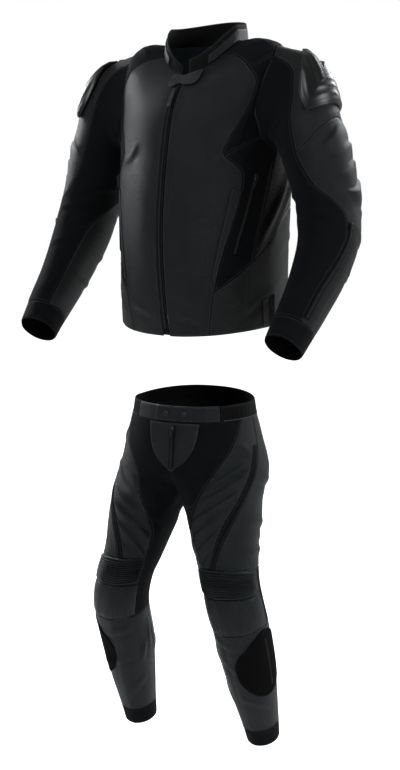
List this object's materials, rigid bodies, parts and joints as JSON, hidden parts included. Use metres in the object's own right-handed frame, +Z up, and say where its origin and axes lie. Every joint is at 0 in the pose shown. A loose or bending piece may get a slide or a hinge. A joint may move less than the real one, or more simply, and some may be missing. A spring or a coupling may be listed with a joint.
{
  "type": "motorcycle race suit",
  "caption": "Two-piece black leather and stretch motorcycle race suit, jacket and trousers, filled out as worn with open neck, hem, cuffs, waist and ankles.",
  "frame": {"origin": "between the wearer's shoulders, at the middle of the jacket's neck, where the wearer carries it", "axes": "+Z up, the front of both garments faces -Y, +X towards the wearer's left; the jacket is turned 4 degrees to the wearer's right and the trousers 4.5 degrees to the wearer's left about Z, as they are shown"},
  "size_m": [0.8196, 0.4352, 1.6935],
  "materials": {
    "jacket_leather": "matt satin grain",
    "perforated_leather": "matt satin grain with fine perforation",
    "trouser_leather": "matt satin grain",
    "stretch_cloth": "matt woven stretch",
    "collar_cloth": "soft neoprene",
    "elastic_band": "woven elastic",
    "suede_patch": "rough hook cloth",
    "hard_plastic": "satin moulded",
    "zip_nylon": "satin",
    "pull_metal": "dark lacquer"
  },
  "bodies": {
    "suit": {"front_l": "perforated_leather", "front_r": "perforated_leather", "waist_panel_l": "jacket_leather", "waist_panel_r": "jacket_leather", "side_stretch_l": "stretch_cloth", "side_stretch_r": "stretch_cloth", "chest_stretch_l": "stretch_cloth", "chest_stretch_r": "stretch_cloth", "yoke_l": "stretch_cloth", "yoke_r": "stretch_cloth", "back": "jacket_leather", "sleeve_upper_l": "jacket_leather", "sleeve_upper_r": "jacket_leather", "sleeve_lower_l": "jacket_leather", "sleeve_lower_r": "jacket_leather", "sleeve_inner_l": "stretch_cloth", "sleeve_inner_r": "stretch_cloth", "cuff_l": "stretch_cloth", "cuff_r": "stretch_cloth", "collar": "collar_cloth", "collar_patch_l": "jacket_leather", "collar_patch_r": "jacket_leather", "collar_tab": "jacket_leather", "front_zip": "zip_nylon", "pocket_zip_l": "zip_nylon", "pocket_zip_r": "zip_nylon", "pocket_welt_l": "jacket_leather", "pocket_welt_r": "jacket_leather", "hem_strap_l": "jacket_leather", "hem_strap_r": "jacket_leather", "shoulder_slider_l": "hard_plastic", "shoulder_slider_r": "hard_plastic", "forearm_zip_l": "zip_nylon", "forearm_zip_r": "zip_nylon", "stretch_panel_l": "stretch_cloth", "stretch_panel_r": "stretch_cloth", "hip_panel_l": "trouser_leather", "hip_panel_r": "trouser_leather", "side_strip_l": "stretch_cloth", "side_strip_r": "stretch_cloth", "seat_panel_l": "trouser_leather", "seat_panel_r": "trouser_leather", "knee_ribs_l": "trouser_leather", "knee_ribs_r": "trouser_leather", "knee_cup_l": "trouser_leather", "knee_cup_r": "trouser_leather", "lower_leg_l": "trouser_leather", "lower_leg_r": "trouser_leather", "ankle_cuff_l": "stretch_cloth", "ankle_cuff_r": "stretch_cloth", "calf_patch_l": "suede_patch", "calf_patch_r": "suede_patch", "waistband": "elastic_band", "waist_tab": "trouser_leather", "fly": "perforated_leather", "fly_zip": "zip_nylon"},
    "front_pull": {"front_pull": "pull_metal"},
    "pocket_pull_l": {"pocket_pull_l": "pull_metal"},
    "pocket_pull_r": {"pocket_pull_r": "pull_metal"},
    "fly_pull": {"fly_pull": "pull_metal"}
  },
  "joints": [
    {"name": "front_pull_hinge", "type": "hinge", "parent": "suit", "child": "front_pull", "pos_m": [-0.00787, -0.11255, -0.12127], "axis": [-0.9976, 0.0698, 0], "range_deg": [0, 160]},
    {"name": "pocket_pull_l_hinge", "type": "hinge", "parent": "suit", "child": "pocket_pull_l", "pos_m": [0.18636, -0.08678, -0.31361], "axis": [-0.4849, -0.8377, 0.2513], "range_deg": [0, 160]},
    {"name": "pocket_pull_r_hinge", "type": "hinge", "parent": "suit", "child": "pocket_pull_r", "pos_m": [-0.19662, -0.05999, -0.31361], "axis": [-0.3636, 0.897, -0.2513], "range_deg": [0, 160]},
    {"name": "fly_pull_hinge", "type": "hinge", "parent": "suit", "child": "fly_pull", "pos_m": [-0.01685, -0.11624, -0.88315], "axis": [-0.9969, -0.0785, 0], "range_deg": [0, 160]}
  ]
}
